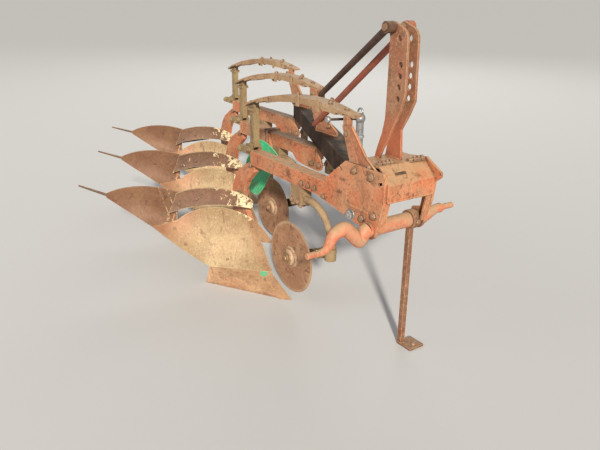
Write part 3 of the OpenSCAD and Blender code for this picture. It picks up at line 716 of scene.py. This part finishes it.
def body_details(unit):
    """Countersunk plough bolts in board, wing, share and landside, and the trashboard's bracket bolts."""
    inwards = (-0.6, 0.55, -0.45)

    def bolts(name, node, spots, look, radius=0.010, kind=flush_head):
        found = on_node(f"{node}_{unit}", spots, inwards, radius, unit, follow=True)
        fasteners(f"{name}_bolts_{unit}", found, look, kind=kind)

    board = [(-250, -30, 128), (-320, -110, 145), (-385, -200, 155), (-330, -22, 230), (-400, -25, 320),
             (-520, -400, 250), (-590, -430, 330)]
    bolts("board", "mouldboard", board, "flush")
    bolts("wing", "wing", [(-655, -470, 400), (-640, -440, 460), (-625, -420, 510)], "rod")
    bolts("share", "share", [(-260, -110, 70), (-330, -200, 75), (-200, -50, 60)], "flush")
    strip = [(-500, -330, 520), (-560, -405, 480), (-410, -60, 480), (-420, -120, 500)]
    bolts("trashboard", "trashboard", strip, "strip", 0.008, round_head)
    side = on_node(f"landside_{unit}", [(x, 0, 60) for x in (-400, -500, -620)], RIGHT, 0.010, unit)
    fasteners(f"landside_bolts_{unit}", side, "share", kind=flush_head)


def stay(unit):
    """Brace behind the wing: a bar from the leg to the wing's back, slimmer at its middle."""
    start, _ = hit(f"leg_{unit}", -600, 0, 440, LEFT, unit)
    end, out = hit(f"wing_{unit}", -655, -470, 420, (0.7, -0.65, 0.0), unit)
    steps = 12
    path = stepped([start + RIGHT * 0.004, end + out * 0.007], steps)
    radii = [0.0115 - 0.003 * math.sin(math.pi * k / steps) for k in range(steps + 1)]
    piece(f"wing_stay_{unit}", [swept(path, radii, 14)], "rod")


def stalk_details(unit):
    """Collar and set bolt on the coulter's stalk, and the bolts and nuts of its clamp."""
    stalk = f"stalk_{unit}"
    profile = [(0.0177, 0.0), (0.0265, 0.0), (0.0275, 0.002), (0.0275, 0.014), (0.0265, 0.016),
               (0.0177, 0.016)]
    ring = moved(turned(profile, 30), place(340, 0, 438, unit), UP)
    ear = slab([(-12, 0), (12, 0), (9, 22), (-9, 22)], 14, place(340, -26, 439, unit), FORWARD, RIGHT, UP)
    piece(f"stalk_collar_{unit}", [ring, ear], "stalk", soft=0.001)
    fasteners(f"collar_bolt_{unit}", [(place(340, -47.5, 446, unit), RIGHT, 0.006)])
    sides = on_both_sides(stalk, [(50, 0, 620), (100, 0, 620)], 0.008, unit)
    fasteners(f"stalk_clamp_bolts_{unit}", sides)
    low = [(42, -24, 580), (108, -24, 580), (42, 24, 580), (108, 24, 580)]
    fasteners(f"stalk_clamp_nuts_{unit}", on_node(stalk, low, UP, 0.0075, unit))


def coulter_details(unit):
    """On the moving parts: the axle's grease cap and nut, the arm's bolts, and the disc's rivets."""
    arm = f"coulter_arm_{unit}"
    body = f"coulter_{unit}"
    cap = turned([(0.0, 0.0), (0.016, 0.0), (0.0165, 0.004), (0.013, 0.009), (0.006, 0.011)])
    axle_x, axle_z = -11, 262
    end, _ = hit(arm, axle_x, 0, axle_z, LEFT, unit)
    piece(f"axle_cap_{unit}", [moved(cap, end, RIGHT)], "bolt", body)
    nut = on_node(arm, [(axle_x, 0, axle_z)], RIGHT, 0.011, unit)
    fasteners(f"axle_nut_{unit}", nut, body=body)
    arm_bolts = on_node(arm, [(325, 0, 406), (300, 0, 412)], RIGHT, 0.006, unit)
    fasteners(f"arm_bolts_{unit}", arm_bolts, body=body)
    circle = [(axle_x + 54 * math.cos(a), 0, axle_z + 54 * math.sin(a)) for a in (0.6, 2.2, 3.8, 5.4)]
    rivets = on_node(f"disc_{unit}", circle, LEFT, 0.0055, unit, follow=True)
    fasteners(f"disc_rivets_{unit}", rivets, "disc", f"coulter_disc_{unit}", round_head)


# Skimmer at the middle unit


def blade_place(along, up):
    """A place on the skimmer's blade, by the share of its length from the front and of its height."""
    low = [Vector(p) for p in ((190, -124, 600), (69, -166, 393), (-92, -176, 462))]
    high = [Vector(p) for p in ((222, -108, 677), (45, -140, 749), (-78, -170, 545))]
    roundness = 0.6
    edges = []
    for first, middle, last in (low, high):
        half = 2 * along if along < 0.5 else 2 * along - 1
        straight = first.lerp(middle, half) if along < 0.5 else middle.lerp(last, half)
        left = 1 - along
        curve = left * (1 - 2 * along) * first + 4 * along * left * middle + along * (2 * along - 1) * last
        edges.append(straight.lerp(curve, roundness))
    bulge = Vector((-14, 16, 0)) * 4.5 * up * (1 - up)
    return place(*(edges[0].lerp(edges[1], up) + bulge), 2)


def blade_back(along, up):
    """Direction out of the blade's back at a place on it."""
    near = 0.01
    a, b = max(along - near, 0.0), min(along + near, 1.0)
    c, d = max(up - near, 0.0), min(up + near, 1.0)
    lengthwise = blade_place(b, up) - blade_place(a, up)
    upwards = blade_place(along, d) - blade_place(along, c)
    out = lengthwise.cross(upwards).normalized()
    return out if out.y > 0 else -out


def skimmer_blade():
    """The skimmer's small mouldboard as a warped plate with rounded edges, and its bolts."""
    rows, columns, thick = 33, 13, 0.006
    spots = [(k / (rows - 1), n / (columns - 1)) for k in range(rows) for n in range(columns)]
    front = [blade_place(*spot) for spot in spots]
    back = [point + blade_back(*spot) * thick for point, spot in zip(front, spots)]
    count = rows * columns
    faces = []
    for k in range(rows - 1):
        for n in range(columns - 1):
            a = k * columns + n
            face = (a, a + 1, a + columns + 1, a + columns)
            faces += [face, tuple(count + i for i in face[::-1])]
    rim = [k * columns for k in range(rows)] + [(rows - 1) * columns + n for n in range(1, columns)]
    rim += [k * columns + columns - 1 for k in range(rows - 2, -1, -1)] + list(range(columns - 2, 0, -1))
    faces += [(a, b, count + b, count + a) for a, b in loop(rim)]
    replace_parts(piece("skimmer_blade", [(front + back, faces)], "green", soft=0.0015), "skimmer_2")
    bolts = [(blade_place(*spot), -blade_back(*spot), 0.0095) for spot in ((0.42, 0.45), (0.58, 0.50))]
    fasteners("skimmer_bolts", bolts, kind=round_head)


def shank_details():
    """U-bolts and a plate that hold the skimmer's shank on the middle beam, and the shank's own bolts."""
    bend = [(-52, 694), (-52, 786), (-46, 790), (0, 790), (37, 790), (41, 785), (41, 694)]
    loops = [wire(stepped([place(x, y, z, 2) for y, z in bend], 4), 0.0055, 12) for x in (-22, 12)]
    piece("shank_u_bolts", loops, "bolt")
    clamp = slab(rectangle(-34, 0, 26, 12), 100, place(0, -58, 683, 2), FORWARD, UP, LEFT)
    piece("shank_clamp", [clamp], "bolt", soft=0.002)
    nuts = [(place(x, y, 683, 2), -UP, 0.0065) for x in (-22, 12) for y in (-52, 41)]
    fasteners("shank_nuts", nuts)
    fasteners("shank_bolts", on_node("skimmer_shank_2", [(4, 0, 672), (30, 0, 660)], LEFT, 0.008, 2))


# Adjuster, stand and cross shaft


def adjuster_details():
    """Ring, nuts and thread of the upright spindle, and its rod and ball end under the front spring."""
    x, y = 400, 100
    middle = place(x, y, 1108)
    steps = 24
    turns = [2 * math.pi * k / steps for k in range(steps + 1)]
    ring = [middle + 0.017 * Vector((math.cos(turn), 0, math.sin(turn))) for turn in turns]
    piece("adjuster_ring", [wire(ring, 0.0045, 10)], "zinc")
    bore = 0.0172
    nuts = [moved(collar(bore, 0.022, 0.012, 6), place(x, y, z), UP) for z in (900, 990)]
    piece("adjuster_nuts", nuts, "zinc")
    ridge = turned([(bore, 0), (0.0183, 0.0012), (bore, 0.0024)], 20)
    low, lead = 1004, 3.6
    thread = [moved(ridge, place(x, y, low + lead * k), UP) for k in range(18)]
    piece("adjuster_thread", thread, "zinc", soft=0.0001)
    start = place(342, -34, 1078)
    rod = stepped([start, place(x, 84, 1080)], 10)
    piece("adjuster_rod", [wire(rod, 0.006, 12)], "dark")
    profile = [(0.004, 0.0), (0.012, 0.001), (0.016, 0.007), (0.0165, 0.013), (0.013, 0.020), (0.005, 0.023)]
    piece("adjuster_ball", [moved(turned(profile), start + LEFT * 0.004, RIGHT)], "zinc")


def stand_details():
    """Weld beads round the leg's foot and under its collar, the collar's set bolt, and the foot's bolt."""
    x, y, half = 668, 200, 13
    foot = [place(*corner, 11) for corner in rectangle(x - half, y - half, x + half, y + half)]
    beads = [weld(a, b, 0.004, k) for k, (a, b) in enumerate(loop(foot))]
    beads.append(weld(place(x + 13.5, y - 12, 614), place(x + 13.5, y + 12, 614), 0.004, 9))
    piece("stand_welds", beads, "stand", "stand")
    fasteners("stand_set_bolt", on_node("stand_leg", [(x, y, 655)], -FORWARD, 0.008), body="stand")
    foot_bolt = on_node("stand_leg", [(720, 235, 10)], -UP, 0.008)
    fasteners("stand_foot_bolt", foot_bolt, body="stand", kind=round_head)


SHAFT_X, SHAFT_Z = 668, 655
# Outer end of each link pin along Y, its height over the shaft's axis, and which way along Y is inwards
LINK_PINS = {"right": (-376, -52, 1), "left": (467, 20, -1)}


def cross_shaft():
    """The forged cross shaft: a straight bar, a crank with round bends on its right, and two pins."""
    bar_r, pin_r, collar_r, pin_long, chamfer = 35.0, 14.0, 23.0, 80, 2
    _, drop, _ = LINK_PINS["right"]
    left_tip, lift, _ = LINK_PINS["left"]
    left_root = left_tip - pin_long

    def round_bar(rows, sides=40):
        """A round bar along rows of (x, y, z, radius), counted from the shaft's axis in millimetres."""
        path = [place(SHAFT_X + row[0], row[1], SHAFT_Z + row[2]) for row in rows]
        return swept(path, [row[3] / 1000 for row in rows], sides)

    bar = round_bar([(0, -59, 0, bar_r), (0, 277, 0, bar_r)], 64)
    crank = eased([(0, -57, 0, 34), (0, -77, -4, 33), (0, -94, -53, 30), (-4, -176, 34, 32),
                   (-4, -238, 14, 28), (0, -272, -46, 20), (0, -300, drop, pin_r), (0, -330, drop, pin_r)])
    left_arm = eased([(0, 268, 0, 31), (0, 282, 0, 32), (0, 356, lift, 22), (0, left_root, lift, 21)],
                     rounds=4)
    left_collar = [(0, left_root - back, lift, collar_r) for back in (12, 0)]
    parts = [bar, round_bar(crank), round_bar(left_arm), round_bar(left_collar)]
    for tip, height, inwards in LINK_PINS.values():
        rows = [(0, tip, height, pin_r - chamfer), (0, tip + chamfer * inwards, height, pin_r),
                (0, tip + pin_long * inwards, height, pin_r)]
        parts.append(round_bar(rows))
    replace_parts(piece("cross_shaft_forged", parts, "shaft", "cross_shaft", soft=0.0015), "cross_shaft")


def linch_pins():
    """Linch pins through the ends of the cross shaft's pins."""
    from_tip = 48
    for name, (tip, height, inwards) in LINK_PINS.items():
        spot = place(SHAFT_X, tip + from_tip * inwards, SHAFT_Z + height)
        pin = moved(cotter(0.0035, 0.020, 12), spot, (0.2, 0, 1))
        piece(f"linch_pin_{name}", [pin], "zinc", "cross_shaft")


# Camera, light and floor


def camera():
    """Camera at the photograph's place."""
    image_width_px = 600.0
    focal_px = 620.0
    heading = 2.539
    pitch = 0.364
    roll = 0.013
    eye = ORIGIN + Vector((2.57, -1.719, 1.629))
    ahead = Vector((math.cos(heading), math.sin(heading), 0.0))
    forward = ahead * math.cos(pitch) - UP * math.sin(pitch)
    level = Vector((math.sin(heading), -math.cos(heading), 0.0))
    upright = level.cross(forward)
    right = math.cos(roll) * level + math.sin(roll) * upright
    up = -math.sin(roll) * level + math.cos(roll) * upright
    data = bpy.data.cameras.new("camera")
    data.sensor_fit = "HORIZONTAL"
    data.sensor_width = 36.0
    data.lens = data.sensor_width * focal_px / image_width_px
    data.clip_end = 600.0
    made = bpy.data.objects.new("camera", data)
    rotation = Matrix((right, up, -forward)).transposed()
    made.matrix_world = Matrix.Translation(eye) @ rotation.to_4x4()
    bpy.context.scene.collection.objects.link(made)
    bpy.context.scene.camera = made


def aim(name, data, spot, power, colour):
    """A lamp at a place, turned towards the middle of the plough."""
    data.energy = power
    data.color = colour
    made = bpy.data.objects.new(name, data)
    made.location = spot
    made.rotation_euler = (Vector((0.0, 0.0, 0.6)) - Vector(spot)).to_track_quat("-Z", "Y").to_euler()
    bpy.context.scene.collection.objects.link(made)


def sun(name, angle, spot, power, colour):
    data = bpy.data.lights.new(name, "SUN")
    data.angle = angle
    aim(name, data, spot, power, colour)


def disc_lamp(name, size, spot, power, colour):
    data = bpy.data.lights.new(name, "AREA")
    data.shape = "DISK"
    data.size = size
    aim(name, data, spot, power, colour)


def studio_light():
    """Soft light from all round, a sun on the photograph's side, and two large lamps for the shadows."""
    world = bpy.data.worlds.new("world")
    bpy.context.scene.world = world
    world.use_nodes = True
    background = world.node_tree.nodes["Background"]
    background.inputs["Color"].default_value = (0.93, 0.95, 1.0, 1.0)
    background.inputs["Strength"].default_value = 0.30
    sky = (0.95, 0.97, 1.0)
    sun("key", angle=0.07, spot=(5.6, -3.35, 3.75), power=5.0, colour=(1.0, 0.95, 0.87))
    disc_lamp("fill", size=6.0, spot=(-2.0, -9.0, 6.0), power=160.0, colour=sky)
    disc_lamp("back", size=6.0, spot=(-7.0, 7.0, 7.5), power=320.0, colour=sky)


def studio_floor():
    """Plain pale floor, half a millimetre under the plough."""
    half = 150.0
    mesh = bpy.data.meshes.new("floor")
    corners = [(x, y, 0) for x, y in rectangle(-half, -half, half, half)]
    mesh.from_pydata(corners, [], [(0, 1, 2, 3)])
    floor = bpy.data.objects.new("floor", mesh)
    bpy.context.scene.collection.objects.link(floor)
    floor.location.z = -0.0005
    material = bpy.data.materials.new("floor")
    material.use_nodes = True
    shader = material.node_tree.nodes["Principled BSDF"]
    shader.inputs["Base Color"].default_value = (0.56, 0.55, 0.53, 1.0)
    shader.inputs["Roughness"].default_value = 0.9
    mesh.materials.append(material)


for cad_name, cad_piece in CAD.items():
    dress(cad_name, cad_piece)

headstock_details()
for number in UNITS[1:]:
    nose_details(number)
pocket()
mast_details()
head_welds()
for number in UNITS:
    tower_details(number)
    spring_details(number)
    tie_details(number)
    beam_details(number)
    body_details(number)
    stay(number)
    stalk_details(number)
    coulter_details(number)
skimmer_blade()
shank_details()
adjuster_details()
stand_details()
cross_shaft()
linch_pins()

camera()
studio_light()
studio_floor()
bpy.context.scene.view_settings.view_transform = "Standard"

bpy.context.view_layer.update()
